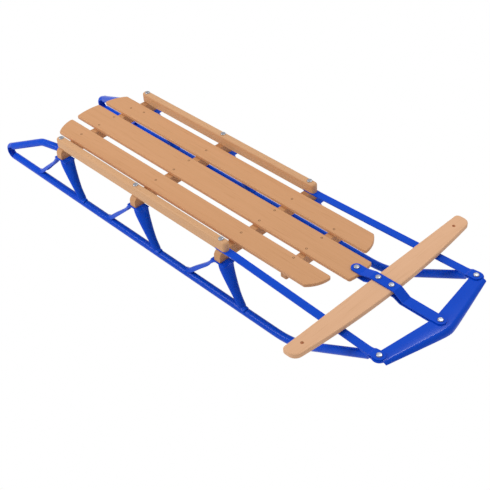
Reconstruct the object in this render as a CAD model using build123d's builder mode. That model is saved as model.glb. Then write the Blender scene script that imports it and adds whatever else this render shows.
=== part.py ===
# Steerable runner sled: a slatted wooden deck on cross bunks, carried by pressed steel stanchions
# on two painted steel runners, and steered by a wooden bar that bends the front of the runners.
# Lengths in mm. X points forward, Y to the rider's left, Z up.
# The origin lies on the ground below the middle of the sled's length.
import os
from math import cos, radians, sin, tan

from build123d import *

os.makedirs("parts", exist_ok=True)

# Heights and thicknesses
runner_height = 13.0
bunk_base = 111.6
bunk_height = 28.0
slat_thick = 9.0
rail_height = 28.0
plate_thick = 3.0
strip_thick = 3.0
bumper_thick = 3.0
bar_thick = 12.0
slide_gap = 0.2
pin_clearance = 0.06

# Places along the sled
bunk_rows = {"rear": -426.0, "middle": -129.0, "front": 168.0}
batten_x = 315.0
flex_x = 317.0
pivot_x = 438.0
bar_bolt_xs = (497.4, 533.2)
end_bolt_x = 633.4
bumper_bolt_x = 660.7

# Places across the sled
rail_y = 143.2
runner_outer_y = 164.5
end_bolt_y = 158.4

# Bolts
bolt_radius = 3.1
head_radius = 6.5
head_height = 2.6
nut_radius = 5.6
nut_height = 5.0

bunk_top = bunk_base + bunk_height
deck_top = bunk_top + slat_thick
rail_top = bunk_top + rail_height
plate_base = bunk_base - plate_thick
bumper_base = bunk_top - bumper_thick
sides = {"right": -1, "left": 1}


def save(builder, name):
    builder.part.label = name
    export_step(builder.part, f"parts/{name}.step")


# Deck slats. Ends are rows of x at the inner corner, the middle and the outer corner.
centre_slat_half = 37.0
outer_slat_span = (55.0, 113.6)
centre_rear = (-506.0, -510.0, -506.0)
centre_front = (450.0, 454.0, 450.0)
outer_rear = (-504.0, -498.0, -480.0)
outer_front = (416.0, 411.0, 390.0)
slat_corner = 6.0
slat_ease = 2.2
#            name, first edge y, second edge y, rear end row, front end row, hole x or None
slat_table = [
    ("slat_center", -centre_slat_half, centre_slat_half, centre_rear, centre_front, pivot_x),
    ("slat_right", -outer_slat_span[0], -outer_slat_span[1], outer_rear, outer_front, None),
    ("slat_left", outer_slat_span[0], outer_slat_span[1], outer_rear, outer_front, None),
]

for name, first_y, second_y, rear, front, hole_x in slat_table:
    middle_y = (first_y + second_y) / 2
    with BuildPart() as slat:
        with BuildSketch(Plane.XY.offset(bunk_top)) as slat_plan:
            with BuildLine():
                Line((rear[0], first_y), (front[0], first_y))
                ThreePointArc((front[0], first_y), (front[1], middle_y), (front[2], second_y))
                Line((front[2], second_y), (rear[2], second_y))
                ThreePointArc((rear[2], second_y), (rear[1], middle_y), (rear[0], first_y))
            make_face()
            fillet(slat_plan.vertices(), slat_corner)
        extrude(amount=slat_thick)
        fillet(slat.faces().sort_by(Axis.Z)[-1].edges(), slat_ease)
        fillet(slat.faces().sort_by(Axis.Z)[0].edges(), slat_ease)
        if hole_x is not None:
            with Locations((hole_x, 0, deck_top)):
                Hole(bolt_radius)
    save(slat, name)

# Side rails, notched below for the steel strips that pass between rail and bunk
rail_width = 19.5
rail_overhang_rear = 14.0
rail_overhang_front = 19.5
rail_ease = 6.0
strip_width = 19.5
notch_half = 22.0
rail_start = bunk_rows["rear"] - rail_overhang_rear
rail_end = bunk_rows["front"] + rail_overhang_front

for side, sign in sides.items():
    with BuildPart() as rail:
        with BuildSketch(Plane.XY.offset(bunk_top)) as rail_plan:
            with Locations(((rail_start + rail_end) / 2, sign * rail_y)):
                RectangleRounded(rail_end - rail_start, rail_width, rail_width * 0.42)
        extrude(amount=rail_height)
        fillet(rail.faces().sort_by(Axis.Z)[-1].edges(), rail_ease)
        fillet(rail.faces().sort_by(Axis.Z)[0].edges(), 1.5)
        with Locations((rail_start + notch_half / 2 + 1, sign * rail_y, bunk_top)):
            Box(notch_half + 14, rail_width + 2, 2 * strip_thick, mode=Mode.SUBTRACT)
        with Locations((rail_end - notch_half / 2 - 1, sign * rail_y, bunk_top)):
            Box(notch_half + 20, rail_width + 2, 2 * (strip_thick + slide_gap), mode=Mode.SUBTRACT)
        with Locations([(x, sign * rail_y, rail_top) for x in bunk_rows.values()]):
            Hole(bolt_radius)
    save(rail, f"rail_{side}")

# Cross bunks and the short front batten
bunk_width = 19.0
bunk_half = 160.0
bunk_round = 15.0
batten_half = 100.0
bunk_ease = 1.5

for name, bunk_x in bunk_rows.items():
    with BuildPart() as bunk:
        with BuildSketch(Plane.YZ.offset(bunk_x)) as bunk_front:
            with Locations((0, bunk_base + bunk_height / 2)):
                Rectangle(2 * bunk_half, bunk_height)
            fillet(bunk_front.vertices().group_by(Axis.Y)[-1], bunk_round)
        extrude(amount=bunk_width / 2, both=True)
        with Locations([(bunk_x, sign * rail_y, bunk_top) for sign in sides.values()]):
            Hole(bolt_radius)
    save(bunk, f"bunk_{name}")

with BuildPart() as batten:
    with Locations((batten_x, 0, bunk_base + bunk_height / 2)):
        Box(bunk_width, 2 * batten_half, bunk_height)
    fillet(batten.edges().filter_by(Axis.Z), 4)
    fillet(batten.faces().sort_by(Axis.Z)[0].edges(), bunk_ease)
save(batten, "batten_front")

# Runners: a bar with a thin inner flange. The rear end curls over in a loop and runs forward
# and up as a flat strip to the rear bunk.
bar_width = 9.5
flange_width = 8.5
flange_thick = 3.0
loop_x = -665.0
loop_outer = 25.3
loop_thick = 8.0
strip_start_x = -653.0
strip_bend = (-498.0, 128.0)
strip_level_x = -443.0
strip_end_x = -410.0
curve_start_x = 332.0
curve_radius = 250.0
curve_angle = 30.0
socket_radius = bar_width / 2 + flange_width / 2
runner_mid_y = runner_outer_y - socket_radius
bar_mid_y = runner_outer_y - bar_width / 2
flange_mid_y = runner_outer_y - bar_width - flange_width / 2
strip_z = bunk_top + strip_thick / 2
loop_top = 2 * loop_outer - loop_thick / 2

for side, sign in sides.items():
    with BuildPart() as runner:
        # bar with its loop
        with BuildSketch(Plane.XZ.offset(-sign * bar_mid_y)):
            with BuildLine():
                Line((flex_x - 1, 0), (loop_x, 0))
                ThreePointArc((loop_x, 0), (loop_x - loop_outer, loop_outer), (loop_x, 2 * loop_outer))
                Line((loop_x, 2 * loop_outer), (strip_start_x, 2 * loop_outer))
                Line((strip_start_x, 2 * loop_outer), (strip_start_x, 2 * loop_outer - loop_thick))
                Line((strip_start_x, 2 * loop_outer - loop_thick), (loop_x, 2 * loop_outer - loop_thick))
                ThreePointArc((loop_x, 2 * loop_outer - loop_thick),
                              (loop_x - loop_outer + loop_thick, loop_outer), (loop_x, loop_thick))
                Line((loop_x, loop_thick), (strip_start_x, runner_height))
                Line((strip_start_x, runner_height), (flex_x - 1, runner_height))
                Line((flex_x - 1, runner_height), (flex_x - 1, 0))
            make_face()
        extrude(amount=bar_width / 2, both=True)
        # flange on the inner side
        with Locations(((strip_start_x + flex_x - 1) / 2, sign * flange_mid_y,
                        runner_height - flange_thick / 2)):
            Box(flex_x - 1 - strip_start_x, flange_width + 0.01, flange_thick)
        with Locations((flex_x, sign * runner_mid_y, 0)):
            Cylinder(socket_radius + 0.1, 3 * runner_height, mode=Mode.SUBTRACT)
    with BuildPart() as strip_body:
        with BuildSketch(Plane.XZ.offset(-sign * rail_y)):
            with BuildLine() as strip_line:
                Polyline((strip_start_x - 2, loop_top), strip_bend, (strip_level_x, strip_z),
                         (strip_end_x, strip_z))
                offset(amount=strip_thick / 2, side=Side.BOTH, kind=Kind.INTERSECTION)
            make_face()
        extrude(amount=60, both=True)
        with BuildSketch() as strip_plan:
            with BuildLine():
                Polyline((strip_start_x - 2, sign * runner_outer_y),
                         (strip_level_x - 20, sign * runner_outer_y),
                         (strip_level_x + 8, sign * (rail_y + strip_width / 2)),
                         (strip_end_x, sign * (rail_y + strip_width / 2)),
                         (strip_end_x, sign * (rail_y - strip_width / 2)),
                         (strip_level_x + 8, sign * (rail_y - strip_width / 2)),
                         (strip_level_x - 20, sign * (runner_outer_y - strip_width)),
                         (strip_start_x - 2, sign * (runner_outer_y - strip_width)),
                         (strip_start_x - 2, sign * runner_outer_y))
            make_face()
        extrude(amount=bunk_top + 20, mode=Mode.INTERSECT)
        with Locations((bunk_rows["rear"], sign * rail_y, bunk_top + strip_thick)):
            Hole(bolt_radius)
    with BuildPart() as whole_runner:
        add(runner.part)
        add(strip_body.part)
    save(whole_runner, f"runner_{side}")
    print(side, "runner solids", len(whole_runner.part.solids()))

# Front ends of the runners: straight, then curving up to a flat tab below the bumper
rise = radians(curve_angle)
curve_end = (curve_start_x + curve_radius * sin(rise), curve_radius * (1 - cos(rise)))
tab_top = bumper_base - slide_gap
tab_base = tab_top - strip_thick
inner_radius = curve_radius - runner_height
inner_end = (curve_start_x + inner_radius * sin(rise), curve_radius - inner_radius * cos(rise))
bar_end_x = 613.0
tab_radius = 13.0


def band(thick):
    # lower line of the bent bar, thick below its top line
    radius = curve_radius - runner_height + thick
    return radius


for side, sign in sides.items():
    with BuildPart() as runner_front:
        for mid_y, wide, thick in ((bar_mid_y, bar_width, runner_height),
                                   (flange_mid_y, flange_width + 0.02, flange_thick)):
            low_radius = inner_radius + thick
            low_end = (curve_start_x + low_radius * sin(rise), curve_radius - low_radius * cos(rise))
            top_hit_x = inner_end[0] + (tab_top - inner_end[1]) / tan(rise)
            low_hit_z = low_end[1] + (bar_end_x - low_end[0]) * tan(rise)
            with BuildSketch(Plane.XZ.offset(-sign * mid_y)):
                with BuildLine():
                    Line((flex_x - 20, runner_height), (curve_start_x, runner_height))
                    ThreePointArc((curve_start_x, runner_height),
                                  (curve_start_x + inner_radius * sin(rise / 2),
                                   curve_radius - inner_radius * cos(rise / 2)), inner_end)
                    Line(inner_end, (top_hit_x, tab_top))
                    Line((top_hit_x, tab_top), (bar_end_x, tab_top))
                    Line((bar_end_x, tab_top), (bar_end_x, min(low_hit_z, tab_base)))
                    Line((bar_end_x, min(low_hit_z, tab_base)), low_end)
                    ThreePointArc(low_end, (curve_start_x + low_radius * sin(rise / 2),
                                            curve_radius - low_radius * cos(rise / 2)),
                                  (curve_start_x, runner_height - thick))
                    Line((curve_start_x, runner_height - thick), (flex_x - 20, runner_height - thick))
                    Line((flex_x - 20, runner_height - thick), (flex_x - 20, runner_height))
                make_face()
            extrude(amount=wide / 2, both=True)
        # the rear end is a round knuckle about the place where the front of the runner flexes
        with BuildSketch() as kept:
            with Locations((flex_x + 250, sign * runner_mid_y)):
                Rectangle(500, 60)
            with Locations((flex_x, sign * runner_mid_y)):
                Circle(socket_radius)
        extrude(amount=200, mode=Mode.INTERSECT)
        with BuildSketch(Plane.XY.offset(tab_base)):
            with Locations((end_bolt_x, sign * end_bolt_y)):
                Circle(tab_radius)
            with Locations(((bar_end_x - 8 + end_bolt_x) / 2, sign * runner_mid_y)):
                Rectangle(end_bolt_x - bar_end_x + 8, 2 * socket_radius)
        extrude(amount=strip_thick)
        with Locations((end_bolt_x, sign * end_bolt_y, tab_top)):
            Hole(bolt_radius + 1.5)
    save(runner_front, f"runner_front_{side}")
    print(side, "front solids", len(runner_front.part.solids()))

# Front strips from the front bunk to the bumper ends
strip_rear_x = bunk_rows["front"] - 12.0
joggle_x = 604.0
strip_low = bumper_base + slide_gap
end_radius = 13.0
for side, sign in sides.items():
    with BuildPart() as front_strip:
        with BuildSketch(Plane.XZ.offset(-sign * rail_y)):
            with BuildLine() as strip_line:
                Polyline((strip_rear_x, strip_z), (bunk_rows["front"] + 34, strip_z),
                         (joggle_x, strip_low + strip_thick / 2),
                         (joggle_x + 8, strip_low + strip_thick / 2),
                         (joggle_x + 14, strip_z + slide_gap),
                         (end_bolt_x + end_radius, strip_z + slide_gap))
                offset(amount=strip_thick / 2, side=Side.BOTH, kind=Kind.INTERSECTION)
            make_face()
        extrude(amount=60, both=True)
        with BuildSketch():
            with BuildLine():
                Polyline((strip_rear_x, sign * (rail_y + strip_width / 2)),
                         (bunk_rows["front"] + 34, sign * (rail_y + strip_width / 2)),
                         (joggle_x, sign * (end_bolt_y + strip_width / 2)),
                         (end_bolt_x, sign * (end_bolt_y + end_radius)),
                         (end_bolt_x, sign * (end_bolt_y - end_radius)),
                         (joggle_x, sign * (end_bolt_y - strip_width / 2)),
                         (bunk_rows["front"] + 34, sign * (rail_y - strip_width / 2)),
                         (strip_rear_x, sign * (rail_y - strip_width / 2)),
                         (strip_rear_x, sign * (rail_y + strip_width / 2)))
            make_face()
            with Locations((end_bolt_x, sign * end_bolt_y)):
                Circle(end_radius)
        extrude(amount=bunk_top + 20, mode=Mode.INTERSECT)
        with Locations((bunk_rows["front"], sign * rail_y, bunk_top + strip_thick)):
            Hole(bolt_radius + pin_clearance)
        with Locations((end_bolt_x, sign * end_bolt_y, strip_z + strip_thick)):
            Hole(bolt_radius)
    save(front_strip, f"front_strip_{side}")
    print(side, "strip solids", len(front_strip.part.solids()))

# Stanchions: plate below the bunk, pressed front leg, thin rear brace, feet on the runner
stanchion_outer = 163.0
plate_inner = 133.0
#            x from the bunk, distance from the middle plane
leg_top = [(8, 163), (24, 157), (21, 131), (18, 131), (20, 154.5), (8, 160)]
leg_foot = [(52, 163), (78, 158), (66, 147.5), (62, 147.5), (70, 155), (52, 159)]
brace_profile = [(-8, 111.6), (-16, 111.6), (-22, 104), (-84, 21), (-104, 16), (-104, 13), (-80, 13),
                 (-16, 98), (-12, 108.6), (-8, 108.6)]
for side, sign in sides.items():
    for name, bunk_x in bunk_rows.items():
        with BuildPart() as stanchion:
            with BuildSketch(Plane.XY.offset(plate_base)):
                with Locations((bunk_x + 2, sign * (stanchion_outer + plate_inner) / 2)):
                    Rectangle(38, stanchion_outer - plate_inner)
            extrude(amount=plate_thick)
            with BuildSketch(Plane.XY.offset(bunk_base)):
                with BuildLine():
                    Polyline(*[(bunk_x + x, sign * y) for x, y in leg_top], close=True)
                make_face()
            with BuildSketch(Plane.XY.offset(runner_height)):
                with BuildLine():
                    Polyline(*[(bunk_x + x, sign * y) for x, y in leg_foot], close=True)
                make_face()
            loft()
            with BuildSketch(Plane.XY.offset(runner_height)):
                with Locations((bunk_x + 70, sign * (runner_mid_y))):
                    SlotOverall(42, 15)
            extrude(amount=3)
            with BuildSketch(Plane.XZ.offset(-sign * (stanchion_outer - 7))):
                with BuildLine():
                    Polyline(*[(bunk_x + x, z) for x, z in brace_profile], close=True)
                make_face()
            extrude(amount=7, both=True)
            with Locations((bunk_x, sign * rail_y, bunk_base)):
                Hole(bolt_radius)
        save(stanchion, f"stanchion_{name}_{side}")
        print(name, side, "stanchion solids", len(stanchion.part.solids()))

# Bolts that hold rail, bunk and stanchion together
for side, sign in sides.items():
    with BuildPart() as rail_bolts:
        for bunk_x in bunk_rows.values():
            with BuildSketch(Plane.XY.offset(plate_base - nut_height - 2)):
                with Locations((bunk_x, sign * rail_y)):
                    Circle(bolt_radius)
            extrude(amount=rail_top - plate_base + nut_height + 2)
            with BuildSketch(Plane.XY.offset(rail_top)):
                with Locations((bunk_x, sign * rail_y)):
                    Circle(head_radius)
            extrude(amount=head_height)
            with BuildSketch(Plane.XY.offset(plate_base - nut_height)):
                with Locations((bunk_x, sign * rail_y)):
                    RegularPolygon(nut_radius, 6)
            extrude(amount=nut_height)
    save(rail_bolts, f"rail_bolts_{side}")

# Steering straps above and below the bar
strap_width = 25.0
strap_end = strap_width / 2
upper_path = [
    (pivot_x - strap_end, deck_top + slide_gap + strip_thick / 2),
    (458.0, deck_top + slide_gap + strip_thick / 2),
    (484.0, 156.2 + strip_thick / 2),
    (549.0, 156.2 + strip_thick / 2),
    (574.0, strip_z + slide_gap),
    (bumper_bolt_x + strap_end, strip_z + slide_gap),
]
bar_top = 156.2
bar_base = bar_top - bar_thick
lower_z = bumper_base - slide_gap - strip_thick / 2
lower_path = [
    (pivot_x - strap_end, bunk_top - slide_gap - strip_thick / 2),
    (468.0, bunk_top - slide_gap - strip_thick / 2),
    (480.0, bar_base - strip_thick / 2),
    (549.0, bar_base - strip_thick / 2),
    (566.0, lower_z),
    (bumper_bolt_x + strap_end, lower_z),
]
for name, path in (("steering_strap_upper", upper_path), ("steering_strap_lower", lower_path)):
    with BuildPart() as strap:
        with BuildSketch(Plane.XZ):
            with BuildLine() as strap_line:
                Polyline(*path)
                offset(amount=strip_thick / 2, side=Side.BOTH, kind=Kind.INTERSECTION)
            make_face()
        extrude(amount=40, both=True)
        with BuildSketch():
            with Locations(((pivot_x + bumper_bolt_x) / 2, 0)):
                SlotCenterToCenter(bumper_bolt_x - pivot_x, strap_width)
        extrude(amount=200, mode=Mode.INTERSECT)
        with Locations((pivot_x, 0, 180)):
            Hole(bolt_radius + pin_clearance)
        with Locations([(x, 0, 180) for x in (*bar_bolt_xs, bumper_bolt_x)]):
            Hole(bolt_radius)
    save(strap, name)
    print(name, len(strap.part.solids()))

# Wooden steering bar
bar_rear_x = 488.5
bar_front_x = 544.5
bar_tip_front_x = 530.0
bar_half = 284.0
rope_hole_y = 245.0
rope_hole_x = 509.0
with BuildPart() as steering_bar:
    with BuildSketch(Plane.XY.offset(bar_base)) as bar_plan:
        with BuildLine():
            Line((bar_rear_x, -bar_half), (bar_rear_x, bar_half))
            Line((bar_rear_x, bar_half), (bar_tip_front_x - 4, bar_half))
            ThreePointArc((bar_tip_front_x - 4, bar_half), (bar_front_x, 0), (bar_tip_front_x - 4, -bar_half))
            Line((bar_tip_front_x - 4, -bar_half), (bar_rear_x, -bar_half))
        make_face()
        fillet(bar_plan.vertices().sort_by(Axis.X)[:2], 10)
        fillet(bar_plan.vertices().sort_by(Axis.X)[-2:], 20)
    extrude(amount=bar_thick)
    fillet(steering_bar.faces().sort_by(Axis.Z)[-1].edges(), 3)
    fillet(steering_bar.faces().sort_by(Axis.Z)[0].edges(), 3)
    with Locations([(rope_hole_x, sign * rope_hole_y, bar_top) for sign in sides.values()]):
        Hole(4)
    with Locations([(x, 0, bar_top) for x in bar_bolt_xs]):
        Hole(bolt_radius)
save(steering_bar, "steering_bar")

# Bumper: a flat V plate with a down-turned front lip
bumper_end_y = 166.0
lip_depth = 16.0
bumper_round = 36.0
bumper_end_x = 658.0
bumper_front_x = loop_outer - loop_x
bumper_apex_x = bumper_front_x + 0.8
outer_line = [(bumper_end_x, bumper_end_y), (bumper_apex_x, 0.0), (bumper_end_x, -bumper_end_y)]
inner_line = [(622.0, -bumper_end_y), (646.5, 0.0), (622.0, bumper_end_y)]
with BuildPart() as bumper:
    with BuildSketch(Plane.XY.offset(bunk_top - lip_depth)) as bumper_plan:
        with BuildLine():
            Polyline(*outer_line, *inner_line, close=True)
        make_face()
        fillet(bumper_plan.vertices().sort_by(Axis.X)[-1], bumper_round)
    extrude(amount=lip_depth)
    fillet(bumper.faces().sort_by(Axis.Z)[-1].edges().sort_by(Axis.X)[-3:], 4)
    with BuildSketch(Plane.XY.offset(bunk_top - lip_depth)) as bumper_under:
        with BuildLine():
            Polyline((bumper_end_x - bumper_thick - 1, bumper_end_y + 5), (bumper_apex_x - bumper_thick, 0.0),
                     (bumper_end_x - bumper_thick - 1, -bumper_end_y - 5),
                     (600.0, -bumper_end_y - 5), (600.0, bumper_end_y + 5), close=True)
        make_face()
        fillet(bumper_under.vertices().sort_by(Axis.X)[-1], bumper_round - bumper_thick)
    extrude(amount=lip_depth - bumper_thick, mode=Mode.SUBTRACT)
    with Locations((bumper_bolt_x, 0, bunk_top)):
        Hole(bolt_radius + pin_clearance)
    with BuildSketch(Plane.XY.offset(bumper_base)):
        with Locations([(end_bolt_x, sign * end_bolt_y) for sign in sides.values()]):
            SlotOverall(2 * bolt_radius + 6.0, 2 * bolt_radius + 2.0)
    extrude(amount=bumper_thick, mode=Mode.SUBTRACT)
save(bumper, "bumper")
print("bumper", len(bumper.part.solids()))

# Bolts of the steering linkage
#            name, x, y, head underside, nut top
bolt_table = [
    ("pivot_bolt", pivot_x, 0.0, deck_top + 2 * slide_gap + strip_thick,
     bunk_top - 2 * slide_gap - strip_thick),
    ("bumper_rivet", bumper_bolt_x, 0.0, bunk_top + slide_gap + strip_thick,
     bumper_base - slide_gap - strip_thick),
    ("end_bolt_right", end_bolt_x, -end_bolt_y, bunk_top + slide_gap + strip_thick,
     tab_base - slide_gap),
    ("end_bolt_left", end_bolt_x, end_bolt_y, bunk_top + slide_gap + strip_thick,
     tab_base - slide_gap),
]
for name, x, y, head_z, nut_z in bolt_table:
    with BuildPart() as bolt:
        with BuildSketch(Plane.XY.offset(nut_z - nut_height)):
            with Locations((x, y)):
                RegularPolygon(nut_radius, 6)
        extrude(amount=nut_height)
        with BuildSketch(Plane.XY.offset(nut_z)):
            with Locations((x, y)):
                Circle(bolt_radius)
        extrude(amount=head_z - nut_z)
        with BuildSketch(Plane.XY.offset(head_z)):
            with Locations((x, y)):
                Circle(head_radius)
        extrude(amount=head_height)
    save(bolt, name)

with BuildPart() as bar_bolts:
    for x in bar_bolt_xs:
        with BuildSketch(Plane.XY.offset(bar_base - strip_thick - nut_height)):
            with Locations((x, 0)):
                RegularPolygon(nut_radius, 6)
        extrude(amount=nut_height)
        with BuildSketch(Plane.XY.offset(bar_base - strip_thick)):
            with Locations((x, 0)):
                Circle(bolt_radius)
        extrude(amount=bar_thick + 2 * strip_thick)
        with BuildSketch(Plane.XY.offset(bar_top + strip_thick)):
            with Locations((x, 0)):
                Circle(head_radius)
        extrude(amount=head_height)
save(bar_bolts, "bar_bolts")
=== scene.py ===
# Steerable runner sled: varnished beech deck, rails and bar on blue enamelled steel runners.
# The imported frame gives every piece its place; this script gives the looks, the bent tubes and
# pressed sheets, the small fastenings and the studio. Metres, X forward, Z up.
from math import ceil, cos, degrees, pi, radians, sin, sqrt, tan

import bpy
from mathutils import Matrix, Vector


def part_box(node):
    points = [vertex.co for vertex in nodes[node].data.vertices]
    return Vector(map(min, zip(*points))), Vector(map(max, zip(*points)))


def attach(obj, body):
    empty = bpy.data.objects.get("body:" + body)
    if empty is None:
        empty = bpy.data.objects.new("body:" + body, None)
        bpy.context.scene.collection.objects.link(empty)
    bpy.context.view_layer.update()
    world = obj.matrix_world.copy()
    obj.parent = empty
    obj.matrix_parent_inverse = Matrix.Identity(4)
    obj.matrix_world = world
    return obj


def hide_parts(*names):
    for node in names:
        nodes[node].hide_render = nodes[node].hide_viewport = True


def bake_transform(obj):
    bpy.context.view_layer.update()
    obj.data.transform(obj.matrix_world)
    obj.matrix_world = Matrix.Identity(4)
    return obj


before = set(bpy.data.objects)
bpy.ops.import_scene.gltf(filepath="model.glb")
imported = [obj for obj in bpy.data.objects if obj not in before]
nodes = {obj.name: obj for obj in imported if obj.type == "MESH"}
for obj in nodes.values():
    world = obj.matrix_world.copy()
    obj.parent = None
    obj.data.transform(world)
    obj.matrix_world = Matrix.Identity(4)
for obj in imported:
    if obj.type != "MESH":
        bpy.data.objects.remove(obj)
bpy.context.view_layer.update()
sides = {"right": -1, "left": 1}
print("frame loaded:", len(nodes), "nodes")


# Colours are written as sRGB and turned to linear here
def srgb(hexCode):
    parts = [int(hexCode[i:i + 2], 16) / 255 for i in (1, 3, 5)]
    linear = [c / 12.92 if c <= 0.04045 else ((c + 0.055) / 1.055) ** 2.4 for c in parts]
    return (*linear, 1.0)


# Adds one shader node; numbered names are input positions, other names inputs or settings
def addNode(tree, kind, settings=None, links=None):
    newNode = tree.nodes.new(kind)
    for name, value in (settings or {}).items():
        if isinstance(name, int) or name in newNode.inputs:
            newNode.inputs[name].default_value = value
        else:
            setattr(newNode, name, value)
    for name, socket in (links or {}).items():
        tree.links.new(socket, newNode.inputs[name])
    return newNode


def startMaterial(name):
    material = bpy.data.materials.new(name)
    material.use_nodes = True
    tree = material.node_tree
    tree.nodes.clear()
    output = addNode(tree, "ShaderNodeOutputMaterial")
    return material, tree, output


# Studio: white floor and backdrop for the camera, soft even light for the sled
studio = {
    "floorSize": 12.0,
    "floorColour": "#F4F4F4",
    "skyStrength": 0.55,
    "sparkle": {"power": 15.0, "size": 0.45, "place": (0.1, 1.3, 2.3)},
    "side": {"power": 26.0, "size": 1.2, "place": (-1.5, -1.7, 1.7)},
}


def buildStudio():
    bpy.ops.mesh.primitive_plane_add(size=studio["floorSize"], location=(0, 0, -0.0005))
    floor = bpy.context.object
    floor.name = "studioFloor"
    material, tree, output = startMaterial("white paper sweep")
    rays = addNode(tree, "ShaderNodeLightPath")
    seen = addNode(tree, "ShaderNodeMath", {"operation": "MAXIMUM"},
                   {0: rays.outputs["Is Camera Ray"], 1: rays.outputs["Is Glossy Ray"]})
    paper = addNode(tree, "ShaderNodeBsdfDiffuse", {"Color": srgb(studio["floorColour"])})
    white = addNode(tree, "ShaderNodeEmission", {"Color": (1, 1, 1, 1), "Strength": 1.0})
    mix = addNode(tree, "ShaderNodeMixShader", {},
                  {0: seen.outputs[0], 1: paper.outputs[0], 2: white.outputs[0]})
    # seen from below the floor is clear, so the underside of the sled shows
    clear = addNode(tree, "ShaderNodeBsdfTransparent")
    side = addNode(tree, "ShaderNodeNewGeometry")
    oneSided = addNode(tree, "ShaderNodeMixShader", {},
                       {0: side.outputs["Backfacing"], 1: mix.outputs[0], 2: clear.outputs[0]})
    tree.links.new(oneSided.outputs[0], output.inputs["Surface"])
    floor.data.materials.append(material)

    world = bpy.data.worlds.new("studioSky")
    bpy.context.scene.world = world
    world.use_nodes = True
    tree = world.node_tree
    tree.nodes.clear()
    rays = addNode(tree, "ShaderNodeLightPath")
    seen = addNode(tree, "ShaderNodeMath", {"operation": "MAXIMUM"},
                   {0: rays.outputs["Is Camera Ray"], 1: rays.outputs["Is Transmission Ray"]})
    plain = addNode(tree, "ShaderNodeBackground",
                    {"Color": (1, 1, 1, 1), "Strength": studio["skyStrength"]})
    white = addNode(tree, "ShaderNodeBackground", {"Color": (1, 1, 1, 1), "Strength": 1.0})
    mix = addNode(tree, "ShaderNodeMixShader", {},
                  {0: seen.outputs[0], 1: plain.outputs[0], 2: white.outputs[0]})
    addNode(tree, "ShaderNodeOutputWorld", {}, {"Surface": mix.outputs[0]})

    # a small lamp overhead for crisp highlights, a large one from the near left to model the form
    for name in ("sparkle", "side"):
        values = studio[name]
        bpy.ops.object.light_add(type="AREA", location=values["place"])
        lamp = bpy.context.object
        lamp.name = name + "Lamp"
        lamp.data.size = values["size"]
        lamp.data.energy = values["power"]
        aim = Vector((0, 0, 0.1)) - Vector(values["place"])
        lamp.rotation_euler = aim.to_track_quat("-Z", "Y").to_euler()
    bpy.context.scene.view_settings.view_transform = "Standard"
    print("studio built")


# Camera: place, tilt, roll and turn solved from the photograph
view = {
    "place": (1.47531, -1.24071, 1.58484),
    "tilt": 90 - 40.16,
    "roll": -3.872,
    "turn": 48.243,
    "lens": 73.85,
}


def buildCamera():
    bpy.ops.object.camera_add(location=view["place"])
    camera = bpy.context.object
    turned = Matrix.Rotation(radians(view["turn"]), 4, "Z") @ Matrix.Rotation(radians(view["tilt"]), 4, "X")
    turned = turned @ Matrix.Rotation(radians(view["roll"]), 4, "Z")
    camera.rotation_euler = turned.to_euler()
    camera.data.sensor_width = 36
    camera.data.lens = view["lens"]
    camera.data.clip_end = 50
    bpy.context.scene.camera = camera
    print("camera placed")


# Varnished beech: soft growth streaks and short dark ray flecks with a satin sheen
def beech(name, grainAxis, light, dark, fleck):
    material, tree, output = startMaterial(name)
    place = addNode(tree, "ShaderNodeTexCoord")
    alongGrain = 1 / 0.35      # growth streaks about 350 mm long
    acrossGrain = 1 / 0.009    # and 9 mm wide
    scales = {"X": (alongGrain, acrossGrain, acrossGrain), "Y": (acrossGrain, alongGrain, acrossGrain)}
    scale = scales[grainAxis]
    stretch = addNode(tree, "ShaderNodeMapping", {"Scale": scale}, {"Vector": place.outputs["Object"]})
    streaks = addNode(tree, "ShaderNodeTexNoise", {"Scale": 1.0, "Detail": 4.0, "Roughness": 0.6},
                      {"Vector": stretch.outputs[0]})
    tone = addNode(tree, "ShaderNodeMix", {"data_type": "RGBA", 6: srgb(light), 7: srgb(dark)},
                   {"Factor": streaks.outputs["Fac"]})
    # ray flecks are a fifth of the streaks each way
    fleckPlace = addNode(tree, "ShaderNodeMapping", {"Scale": tuple(s * 5 for s in scale)},
                         {"Vector": place.outputs["Object"]})
    flecks = addNode(tree, "ShaderNodeTexNoise", {"Scale": 1.0, "Detail": 2.0},
                     {"Vector": fleckPlace.outputs[0]})
    few = addNode(tree, "ShaderNodeMapRange",
                  {"From Min": 0.58, "From Max": 0.72, "To Min": 0.0, "To Max": 0.35},
                  {"Value": flecks.outputs["Fac"]})
    flecked = addNode(tree, "ShaderNodeMix", {"data_type": "RGBA", 7: srgb(fleck)},
                      {"Factor": few.outputs[0], 6: tone.outputs[2]})
    bump = addNode(tree, "ShaderNodeBump", {"Strength": 0.08, "Distance": 0.0004},
                   {"Height": flecks.outputs["Fac"]})
    shader = addNode(tree, "ShaderNodeBsdfPrincipled",
                     {"Roughness": 0.45, "IOR": 1.45, "Specular IOR Level": 0.3},
                     {"Base Color": flecked.outputs[2], "Normal": bump.outputs[0]})
    tree.links.new(shader.outputs[0], output.inputs["Surface"])
    return material


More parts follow.
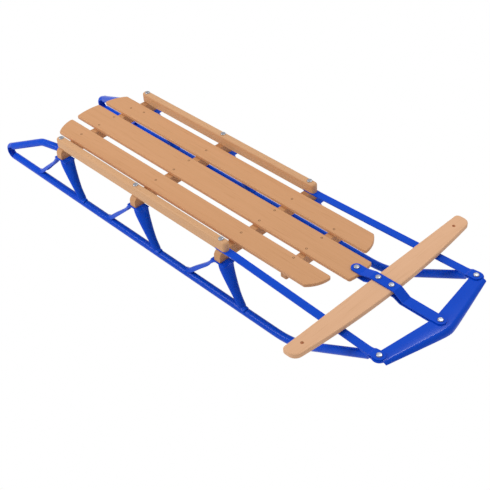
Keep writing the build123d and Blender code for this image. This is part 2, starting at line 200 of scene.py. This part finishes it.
# Blue stoved enamel on steel: deep nearly even colour, gloss with a faint orange peel
def enamel(name, colour, deepColour):
    material, tree, output = startMaterial(name)
    place = addNode(tree, "ShaderNodeTexCoord")
    cloud = addNode(tree, "ShaderNodeTexNoise", {"Scale": 1 / 0.03, "Detail": 2.0},
                    {"Vector": place.outputs["Object"]})
    tone = addNode(tree, "ShaderNodeMix", {"data_type": "RGBA", 6: srgb(colour), 7: srgb(deepColour)},
                   {"Factor": cloud.outputs["Fac"]})
    peel = addNode(tree, "ShaderNodeTexNoise", {"Scale": 1 / 0.012, "Detail": 1.0},
                   {"Vector": place.outputs["Object"]})
    bump = addNode(tree, "ShaderNodeBump", {"Strength": 0.015, "Distance": 0.0002},
                   {"Height": peel.outputs["Fac"]})
    shader = addNode(tree, "ShaderNodeBsdfPrincipled",
                     {"Roughness": 0.2, "IOR": 1.5, "Specular IOR Level": 0.12},
                     {"Base Color": tone.outputs[2], "Normal": bump.outputs[0]})
    tree.links.new(shader.outputs[0], output.inputs["Surface"])
    return material


# Zinc plated or browned steel: bare metal with a fine mottled gloss
def zinc(name, colour):
    material, tree, output = startMaterial(name)
    place = addNode(tree, "ShaderNodeTexCoord")
    mottle = addNode(tree, "ShaderNodeTexNoise", {"Scale": 1 / 0.003, "Detail": 3.0},
                     {"Vector": place.outputs["Object"]})
    rough = addNode(tree, "ShaderNodeMapRange", {"To Min": 0.25, "To Max": 0.45},
                    {"Value": mottle.outputs["Fac"]})
    shader = addNode(tree, "ShaderNodeBsdfPrincipled", {"Base Color": srgb(colour), "Metallic": 1.0},
                     {"Roughness": rough.outputs[0]})
    tree.links.new(shader.outputs[0], output.inputs["Surface"])
    return material


def paint(names, material):
    for name in names:
        node = nodes[name]
        node.data.materials.clear()
        node.data.materials.append(material)


# Makes one piece the only selected and active object
def pick(piece):
    bpy.ops.object.select_all(action="DESELECT")
    piece.select_set(True)
    bpy.context.view_layer.objects.active = piece


# Names a finished piece, gives it its material and ties it to the frame; folds over 35 degrees
# stay crisp
def dress(piece, name, material, body, replaced):
    piece.name = name
    piece.data.materials.clear()
    piece.data.materials.append(material)
    pick(piece)
    bpy.ops.object.shade_smooth_by_angle(angle=radians(35))
    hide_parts(*replaced)
    if body:
        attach(piece, body)
    return piece


def joined(pieces):
    pick(pieces[0])
    for piece in pieces:
        piece.select_set(True)
    if len(pieces) > 1:
        bpy.ops.object.join()
    return bpy.context.object


# A new primitive: its place goes into its mesh, and its object stays at the origin
def applyPlace(piece):
    pick(piece)
    bpy.ops.object.transform_apply(location=True, rotation=True, scale=True)


# Rounds the sharp edges of the active piece
def bevelled(piece, width):
    edge = piece.modifiers.new("edge", "BEVEL")
    edge.width = width
    edge.segments = 2
    edge.limit_method = "ANGLE"
    bpy.ops.object.modifier_apply(modifier=edge.name)


# Merges doubles, closes open ends and turns all faces outwards
def closeMesh(piece, fill=True):
    mergeWithin = 0.00002
    pick(piece)
    bpy.ops.object.mode_set(mode="EDIT")
    bpy.ops.mesh.select_all(action="SELECT")
    bpy.ops.mesh.remove_doubles(threshold=mergeWithin)
    if fill:
        bpy.ops.mesh.fill_holes(sides=0)
    bpy.ops.mesh.select_all(action="SELECT")
    bpy.ops.mesh.normals_make_consistent(inside=False)
    bpy.ops.object.mode_set(mode="OBJECT")


# Cuts away what lies beyond a plane
def trim(piece, place, outward):
    pick(piece)
    bpy.ops.object.mode_set(mode="EDIT")
    bpy.ops.mesh.select_all(action="SELECT")
    bpy.ops.mesh.bisect(plane_co=place, plane_no=outward, use_fill=True, clear_outer=True)
    bpy.ops.object.mode_set(mode="OBJECT")


# A tube drawn along straight runs with a round bend at each corner, a step every few degrees
def bentTube(radius, points, bends, around):
    stepDegrees = 5
    points = [Vector(point) for point in points]
    heading = points[1] - points[0]
    bpy.ops.object.select_all(action="DESELECT")
    bpy.ops.mesh.primitive_circle_add(vertices=around, radius=radius, location=points[0],
                                      rotation=heading.to_track_quat("Z", "Y").to_euler())
    tube = bpy.context.object
    applyPlace(tube)
    bpy.ops.object.mode_set(mode="EDIT")
    bpy.ops.mesh.select_all(action="SELECT")
    place = points[0]
    for corner, after, bend in zip(points[1:-1], points[2:], bends):
        incoming = (corner - place).normalized()
        outgoing = (after - corner).normalized()
        turn = incoming.angle(outgoing)
        run = corner - incoming * bend * tan(turn / 2) - place
        bpy.ops.mesh.extrude_region_move(TRANSFORM_OT_translate={"value": run})
        inward = (outgoing - incoming * incoming.dot(outgoing)).normalized()
        bpy.ops.mesh.spin(steps=max(3, ceil(degrees(turn) / stepDegrees)), angle=-turn,
                          center=place + run + inward * bend, axis=incoming.cross(outgoing).normalized())
        place = corner + outgoing * bend * tan(turn / 2)
    bpy.ops.mesh.extrude_region_move(TRANSFORM_OT_translate={"value": points[-1] - place})
    bpy.ops.object.mode_set(mode="OBJECT")
    return tube


# A pressed sheet: a grid laid on rows of points, given its thickness and rounded edges
def pressedSheet(rows, thick, rounding):
    bpy.ops.object.select_all(action="DESELECT")
    bpy.ops.mesh.primitive_grid_add(x_subdivisions=len(rows[0]) - 1, y_subdivisions=len(rows) - 1)
    sheet = bpy.context.object
    for index, vertex in enumerate(sheet.data.vertices):
        vertex.co = rows[index // len(rows[0])][index % len(rows[0])]
    wall = sheet.modifiers.new("wall", "SOLIDIFY")
    wall.thickness = thick
    wall.offset = 0.0
    wall.use_even_offset = True
    bpy.ops.object.modifier_apply(modifier=wall.name)
    if rounding:
        soft = sheet.modifiers.new("soft", "SUBSURF")
        soft.levels = rounding
        soft.render_levels = rounding
        bpy.ops.object.modifier_apply(modifier=soft.name)
    closeMesh(sheet, fill=False)
    return sheet


# Runners: one round steel tube a side, its rear end pressed to a half pipe and curled into a
# loop, then led up and in to a flat end under the rear bunk; its front curves up to the bumper
runner = {
    "tubeRadius": 0.0099,
    "acrossY": 0.159,
    "loopX": -0.6655,
    "loopBend": 0.0149,
    "loopTurn": 154,
    "loopRunOut": 0.012,
    "loopTuck": 0.004,
    "loopSteps": 22,
    "loopAcross": 10,
    "around": 28,
    "tubeStartX": -0.661,
    "curveStartX": 0.348,
    "curveRadius": 0.200,
    "curveAngle": 29.7,
    "tubeEndX": 0.610,
    "trimSpare": 0.03,
    "returnBend": (-0.543, 0.134, 0.0975),
    "returnBendRadius": 0.05,
    "returnFlatX": -0.462,
    "flatRun": 0.3,
    "flatSqueeze": 0.85,
    "flatSpread": 0.35,
    "returnEnd": (-0.413, 0.116, 0.1100),
    "flexFrom": 0.250,
    "flexTo": 0.384,
    "sheet": 0.0022,
    "tabTop": 0.1364,
    "tabThick": 0.003,
    "tabRadius": 0.013,
    "tabEdge": 0.0004,
    "tabNeck": [(0.594, 0.0095), (0.606, 0.0099), (0.622, 0.012)],
    "endBolt": (0.6334, 0.1584),
}


def buildRunner(side, sign, material):
    radius = runner["tubeRadius"]
    acrossY = sign * runner["acrossY"]
    rise = radians(runner["curveAngle"])
    cornerX = runner["curveStartX"] + runner["curveRadius"] * tan(rise / 2)
    endX = runner["tubeEndX"] + runner["trimSpare"]
    tube = bentTube(radius, [(runner["tubeStartX"], acrossY, radius), (cornerX, acrossY, radius),
                             (endX, acrossY, radius + (endX - cornerX) * tan(rise))],
                    [runner["curveRadius"]], runner["around"])
    closeMesh(tube)
    trim(tube, (runner["tubeEndX"], 0, 0), (1, 0, 0))
    trim(tube, (0, 0, runner["tabTop"]), (0, 0, 1))

    # half pipe round the loop, open towards the middle of the loop
    centre = Vector((runner["loopX"], acrossY, radius + runner["loopBend"]))
    turns = runner["loopSteps"]
    across = runner["loopAcross"]
    wallMiddle = radius - runner["sheet"] / 2
    rows = []
    leave = radians(-90 - runner["loopTurn"])
    leaving = Vector((sin(leave), 0, -cos(leave)))
    for step in range(turns + 3):
        angle = radians(-90 - runner["loopTurn"] * min(turns, max(0, step - 1)) / turns)
        row = []
        for part in range(across + 1):
            tilt = pi * (part / across - 0.5)
            reach = runner["loopBend"] + wallMiddle * cos(tilt)
            sway = wallMiddle * sin(tilt)
            point = centre + Vector((reach * cos(angle), sway, reach * sin(angle)))
            if step == 0:
                point += Vector((runner["tubeStartX"] + runner["loopTuck"] - runner["loopX"], 0, 0))
            if step == turns + 2:
                point += leaving * (runner["loopRunOut"] + runner["loopTuck"])
            row.append(point)
        rows.append(row)
    loop = pressedSheet(rows, runner["sheet"], 0)

    # return tube from the loop to the flat end
    start = centre + Vector((runner["loopBend"] * cos(leave), 0, runner["loopBend"] * sin(leave)))
    start += leaving * runner["loopRunOut"]
    toSide = Vector((1, sign, 1))
    bendPoint = Vector(runner["returnBend"]) * toSide
    flatEnd = Vector(runner["returnEnd"]) * toSide
    back = bentTube(radius, [start, bendPoint, flatEnd], [runner["returnBendRadius"]], runner["around"])
    flatFrom = runner["returnFlatX"]
    flatRun = (flatEnd.x - flatFrom) * runner["flatRun"]
    lastRun = flatEnd - bendPoint
    for edgeX in (flatFrom, flatFrom + flatRun):
        bpy.ops.object.mode_set(mode="EDIT")
        bpy.ops.mesh.select_all(action="SELECT")
        bpy.ops.mesh.bisect(plane_co=(edgeX, 0, 0), plane_no=(1, 0, 0))
        bpy.ops.object.mode_set(mode="OBJECT")
    for vertex in back.data.vertices:
        share = min(1, max(0, (vertex.co.x - flatFrom) / flatRun))
        if share > 0:
            along = (vertex.co.x - bendPoint.x) / lastRun.x
            middle = bendPoint + lastRun * along
            squeeze = 1 - share * runner["flatSqueeze"]
            spread = 1 + share * runner["flatSpread"]
            vertex.co.z = middle.z + (vertex.co.z - middle.z) * squeeze
            vertex.co.y = middle.y + (vertex.co.y - middle.y) * spread
    closeMesh(back)

    # flat tab from the tube's end to the end bolt
    boltX = runner["endBolt"][0]
    boltY = sign * runner["endBolt"][1]
    middleZ = runner["tabTop"] - runner["tabThick"] / 2
    outline = list(runner["tabNeck"])
    for angle in (0, 20, 40, 60, 76, 88):
        outline.append((boltX + runner["tabRadius"] * sin(radians(angle)),
                        runner["tabRadius"] * cos(radians(angle)) + runner["tabEdge"]))
    tabRows = [[Vector((x, boltY + y * share, middleZ)) for share in (-1, -0.4, 0.4, 1)] for x, y in outline]
    tab = pressedSheet(tabRows, runner["tabThick"], 0)
    whole = joined([tube, loop, back, tab])
    dress(whole, "runnerTube_" + side, material, None, ["runner_" + side, "runner_front_" + side])
    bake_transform(whole)


# Stanchions: each pressed from one sheet, with a plate under the bunk, a front leg that is a
# tapering half cone, a channel brace to the rear and saddles round the runner
stanchion = {
    "sheet": 0.0022,
    "bunkEnd": 0.160,
    "bunkBase": 0.1116,
    "runnerTop": 0.0198,
    "plate": (0.046, 0.031, 0.003),
    "plateForward": 0.004,
    "plateOut": 0.003,
    "plateEdge": 0.0008,
    "saddleGap": 0.0006,
    "saddleLean": 11,
    "saddleHalf": 51,
    "braceY": 0.155,
    "braceHalf": 0.0078,
}
# share of the height, then x and y of outer edge, crest and inner edge in mm, from bunk and bunk end
legRows = [
    (1.02, 6.0, 3.0, 20.0, -3.0, 21.0, -28.0),
    (0.93, 6.5, 3.2, 22.0, -3.5, 23.0, -28.0),
    (0.82, 10.0, 3.6, 27.0, -4.0, 27.0, -25.0),
    (0.58, 27.0, 5.0, 44.0, -6.0, 38.0, -20.5),
    (0.30, 49.0, 7.0, 60.0, -3.0, 50.0, -15.5),
    (0.10, 63.0, 7.6, 72.0, 0.5, 58.0, -11.0),
    (-0.02, 69.0, 8.0, 79.0, 2.0, 62.0, -9.0),
]
# x from the bunk and z of the brace's top line, the channel's depth in mm, and how far it has
# spread round the tube
braceRows = [
    (-6.0, 110.5, 4.0, 0.0),
    (-16.0, 110.0, 6.0, 0.0),
    (-24.0, 104.0, 8.0, 0.0),
    (-34.0, 88.0, 8.0, 0.0),
    (-62.0, 65.0, 8.0, 0.0),
    (-88.0, 43.5, 11.0, 0.0),
    (-102.0, 32.0, 12.0, 0.15),
    (-111.0, 25.5, 9.0, 0.6),
    (-117.0, 22.0, 6.0, 1.0),
    (-120.0, 21.0, 6.0, 1.0),
]
# x of the leg's saddle from the bunk in mm, and the angle it covers each way in degrees
saddleTable = [(50, 39), (55, 51), (70, 51), (84, 51), (88, 39)]


# Points on the arc through three points of one level
def arcRow(first, middle, last, level, count):
    ax, ay = first
    bx, by = middle
    cx, cy = last
    turn = 2 * (ax * (by - cy) + bx * (cy - ay) + cx * (ay - by))
    aa = ax ** 2 + ay ** 2
    bb = bx ** 2 + by ** 2
    cc = cx ** 2 + cy ** 2
    ux = (aa * (by - cy) + bb * (cy - ay) + cc * (ay - by)) / turn
    uy = (aa * (cx - bx) + bb * (ax - cx) + cc * (bx - ax)) / turn
    middlePoint = Vector((ux, uy))
    start = Vector(first) - middlePoint
    finish = Vector(last) - middlePoint
    crest = Vector(middle) - middlePoint
    sweep = start.angle_signed(crest) + crest.angle_signed(finish)
    points = []
    for step in range(count + 1):
        spin = -sweep * step / count
        x = start.x * cos(spin) - start.y * sin(spin)
        y = start.x * sin(spin) + start.y * cos(spin)
        points.append(Vector((ux + x, uy + y, level)))
    return points


# Point of a saddle that lies round the tube, at an angle outwards from its top
def roundTube(x, sign, angle):
    wrap = runner["tubeRadius"] + stanchion["saddleGap"] + stanchion["sheet"] / 2
    return Vector((x, sign * (runner["acrossY"] + wrap * sin(angle)),
                   runner["tubeRadius"] + wrap * cos(angle)))


def buildStanchion(side, sign, row, bunkX, material):
    base = stanchion["bunkBase"]
    top = stanchion["runnerTop"]
    end = stanchion["bunkEnd"]
    legs = []
    for share, outerX, outerY, crestX, crestY, innerX, innerY in legRows:
        corners = [(bunkX + x / 1000, sign * (end + y / 1000))
                   for x, y in ((outerX, outerY), (crestX, crestY), (innerX, innerY))]
        legs.append(arcRow(*corners, top + share * (base - top), 10))
    leg = pressedSheet(legs, stanchion["sheet"], 1)

    brace = []
    for index, (x, z, depth, spread) in enumerate(braceRows):
        before = braceRows[max(0, index - 1)]
        after = braceRows[min(len(braceRows) - 1, index + 1)]
        along = Vector((after[0] - before[0], 0, after[1] - before[1])).normalized()
        below = Vector((-along.z, 0, along.x))
        points = []
        for part in range(-5, 6):
            lean = part / 5
            channel = Vector((bunkX + x / 1000, sign * stanchion["braceY"], z / 1000))
            channel += Vector((0, sign * stanchion["braceHalf"] * sin(lean * pi / 2), 0))
            channel += below * depth / 1000 * (1 - cos(lean * pi / 2))
            saddle = roundTube(bunkX + x / 1000, sign,
                               radians(stanchion["saddleLean"] + stanchion["saddleHalf"] * lean))
            points.append(channel.lerp(saddle, spread))
        brace.append(points)
    channelBrace = pressedSheet(brace, stanchion["sheet"], 1)

    # saddle under the leg, a little narrower at its two ends
    saddleRows = []
    for x, half in saddleTable:
        angles = [radians(stanchion["saddleLean"] + half * part / 5) for part in range(-5, 6)]
        saddleRows.append([roundTube(bunkX + x / 1000, sign, angle) for angle in angles])
    saddle = pressedSheet(saddleRows, stanchion["sheet"], 1)

    bpy.ops.object.select_all(action="DESELECT")
    width, depth, thick = stanchion["plate"]
    middle = (bunkX + stanchion["plateForward"], sign * (end + stanchion["plateOut"] - depth / 2),
              base - thick / 2)
    bpy.ops.mesh.primitive_cube_add(size=1, location=middle, scale=(width, depth, thick))
    plate = bpy.context.object
    applyPlace(plate)
    bevelled(plate, stanchion["plateEdge"])
    whole = joined([leg, channelBrace, saddle, plate])
    dress(whole, "pressedStanchion_" + row + "_" + side, material, "deck_frame",
          ["stanchion_" + row + "_" + side])


# Bumper: a flat V of sheet with a rolled front lip and round eyes about the end bolts
bumper = {
    "endY": 0.1635,
    "outerEndX": 0.6530,
    "outerMiddleX": 0.6905,
    "innerEndX": 0.6228,
    "innerMiddleX": 0.6465,
    "top": 0.1396,
    "sheet": 0.003,
    "roll": 0.009,
    "lipDepth": 0.016,
    "lipEndDepth": 0.0055,
    "rounding": 0.014,
    "eyeRadius": 0.0165,
    "eyeRearX": 0.6228,
    "eyeSunk": 0.00002,
    "eyeEdge": 0.0006,
    "flatShare": 0.4,
    "inset": 0.0002,
}


def buildBumper(material):
    half = bumper["sheet"] / 2
    levelZ = bumper["top"] - half
    soften = bumper["rounding"]
    roll = bumper["roll"]
    inset = bumper["inset"]
    fall = (bumper["outerMiddleX"] - bumper["outerEndX"]) / bumper["endY"]
    innerFall = (bumper["innerMiddleX"] - bumper["innerEndX"]) / bumper["endY"]
    halfShares = (0.05, 0.12, 0.25, 0.5, 0.8, 0.96, 1)
    rows = []
    for share in [-share for share in reversed(halfShares)] + [0] + list(halfShares):
        y = bumper["endY"] * share
        outerX = bumper["outerMiddleX"] - half - fall * (sqrt(y ** 2 + soften ** 2) - soften) - inset
        innerX = bumper["innerMiddleX"] - innerFall * abs(y)
        flatX = innerX + bumper["flatShare"] * (outerX - roll - innerX)
        points = [Vector((innerX, y, levelZ)), Vector((flatX, y, levelZ))]
        lip = bumper["lipDepth"] + (bumper["lipEndDepth"] - bumper["lipDepth"]) * abs(share)
        drop = min(roll, lip - half)
        for step in range(7):
            angle = radians(90 - 15 * step)
            points.append(Vector((outerX - roll + roll * cos(angle), y, levelZ - drop + drop * sin(angle))))
        points.append(Vector((outerX, y, bumper["top"] - lip - inset)))
        rows.append(points)
    plate = pressedSheet(rows, bumper["sheet"], 0)
    eyes = []
    for sign in sides.values():
        bpy.ops.object.select_all(action="DESELECT")
        middle = (runner["endBolt"][0], sign * runner["endBolt"][1], levelZ)
        bpy.ops.mesh.primitive_cylinder_add(vertices=48, radius=bumper["eyeRadius"], location=middle,
                                            depth=bumper["sheet"] - 2 * bumper["eyeSunk"])
        eye = bpy.context.object
        applyPlace(eye)
        # its rear is cut straight, clear of the strip's step as the bumper swings
        trim(eye, (bumper["eyeRearX"], 0, levelZ), (-1, 0, 0))
        bevelled(eye, bumper["eyeEdge"])
        eyes.append(eye)
    whole = joined([plate] + eyes)
    dress(whole, "rolledBumper", material, "bumper", ["bumper"])


# Bolts: domed head, shank and hexagon nut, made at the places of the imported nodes
boltForm = {
    "headRadius": 0.0065,
    "headHeight": 0.0026,
    "shankRadius": 0.0031,
    "nutRadius": 0.0056,
    "nutHeight": 0.005,
    "nutEdge": 0.0005,
    "domeShare": 0.75,
}
# node, body, then x, y, head's underside and nut's top in mm for each bolt
boltTable = [
    ("rail_bolts_right", "deck_frame", [(x, -143.2, 167.6, 108.6) for x in (-426, -129, 168)]),
    ("rail_bolts_left", "deck_frame", [(x, 143.2, 167.6, 108.6) for x in (-426, -129, 168)]),
    ("pivot_bolt", "deck_frame", [(438.0, 0.0, 152.0, 136.2)]),
    ("bumper_rivet", "steering", [(660.7, 0.0, 142.8, 133.4)]),
    ("end_bolt_right", "strip_right", [(633.4, -158.4, 142.8, 133.2)]),
    ("end_bolt_left", "strip_left", [(633.4, 158.4, 142.8, 133.2)]),
    ("bar_bolts", "steering", [(497.4, 0.0, 159.2, 141.2), (533.2, 0.0, 159.2, 141.2)]),
]


# A new upright cylinder, its place in its mesh
def roundBar(around, radius, depth, middle):
    bpy.ops.object.select_all(action="DESELECT")
    bpy.ops.mesh.primitive_cylinder_add(vertices=around, radius=radius, depth=depth, location=middle)
    bar = bpy.context.object
    applyPlace(bar)
    return bar


def buildBolts(material):
    form = boltForm
    for node, body, places in boltTable:
        parts = []
        for x, y, headZ, nutZ in places:
            x, y, headZ, nutZ = x / 1000, y / 1000, headZ / 1000, nutZ / 1000
            headMiddle = (x, y, headZ + form["headHeight"] / 2)
            head = roundBar(40, form["headRadius"], form["headHeight"], headMiddle)
            bpy.ops.object.mode_set(mode="EDIT")
            bpy.ops.mesh.select_all(action="DESELECT")
            bpy.ops.object.mode_set(mode="OBJECT")
            for face in head.data.polygons:
                face.select = face.normal.z > 0.9
            bpy.ops.object.mode_set(mode="EDIT")
            bpy.ops.mesh.bevel(offset=form["headHeight"] * form["domeShare"], segments=5, affect="EDGES")
            bpy.ops.object.mode_set(mode="OBJECT")
            parts.append(head)
            parts.append(roundBar(24, form["shankRadius"], headZ - nutZ, (x, y, (headZ + nutZ) / 2)))
            nut = roundBar(6, form["nutRadius"], form["nutHeight"], (x, y, nutZ - form["nutHeight"] / 2))
            bevelled(nut, form["nutEdge"])
            parts.append(nut)
        whole = joined(parts)
        dress(whole, "domed_" + node, material, body, [node])


# Slat screws: small dark countersunk heads with a round recess, level with the deck
screw = {
    "radius": 0.0027,
    "deckTop": 0.1486,
    "proud": 0.00015,
    "sunk": 0.0012,
    "recess": 0.0008,
    "rimShare": 0.3,
}
screwPlaces = [(x, y) for x in (-0.426, -0.129, 0.168) for y in (-0.0829, -0.0249, 0.0249, 0.0829)]
screwPlaces += [(0.3146, y) for y in (-0.0655, -0.0249, 0.0249, 0.0655)] + [(-0.383, 0.092)]


def buildScrews(material):
    # faces are picked one by one below, so face selection comes first
    bpy.context.tool_settings.mesh_select_mode = (False, False, True)
    depth = screw["proud"] + screw["sunk"]
    heads = []
    for x, y in screwPlaces:
        head = roundBar(20, screw["radius"], depth, (x, y, screw["deckTop"] + screw["proud"] - depth / 2))
        for face in head.data.polygons:
            face.select = face.normal.z > 0.9
        bpy.ops.object.mode_set(mode="EDIT")
        bpy.ops.mesh.inset(thickness=screw["radius"] * screw["rimShare"])
        bpy.ops.mesh.extrude_region_move(TRANSFORM_OT_translate={"value": (0, 0, -screw["recess"])})
        bpy.ops.object.mode_set(mode="OBJECT")
        heads.append(head)
    whole = joined(heads)
    dress(whole, "slatScrews", material, "deck_frame", [])


buildStudio()
buildCamera()
slatBeech = beech("varnished beech slats", "X", "#DFA679", "#D39C6C", "#B8804F")
crossBeech = beech("varnished beech bunks", "Y", "#D9A274", "#C79160", "#B27A49")
railBeech = beech("varnished pale beech rails", "X", "#E0B084", "#D5A275", "#BE8A5A")
barBeech = beech("varnished pale beech bar", "Y", "#EEBC94", "#E6B288", "#C99A6C")
blueEnamel = enamel("blue stoved enamel", "#0A52DA", "#0848CC")
zincPlate = zinc("bright zinc plate", "#B9BCC4")
darkScrew = zinc("browned steel screws", "#4A3020")
paint(["slat_center", "slat_right", "slat_left"], slatBeech)
paint(["batten_front"] + ["bunk_" + row for row in ("rear", "middle", "front")], crossBeech)
paint(["rail_right", "rail_left"], railBeech)
paint(["steering_bar"], barBeech)
paint([name for name in nodes if "runner" in name or "strip" in name or "stanchion" in name or "strap" in name
       or name == "bumper"], blueEnamel)
paint([name for name in nodes if "bolt" in name or "rivet" in name], zincPlate)
print("frame painted")

for side, sign in sides.items():
    buildRunner(side, sign, blueEnamel)
    for row in ("rear", "middle", "front"):
        low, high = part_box("bunk_" + row)
        buildStanchion(side, sign, row, (low[0] + high[0]) / 2, blueEnamel)
print("runners and stanchions built")
buildBumper(blueEnamel)
buildBolts(zincPlate)
buildScrews(darkScrew)
print("bumper, bolts and screws built")
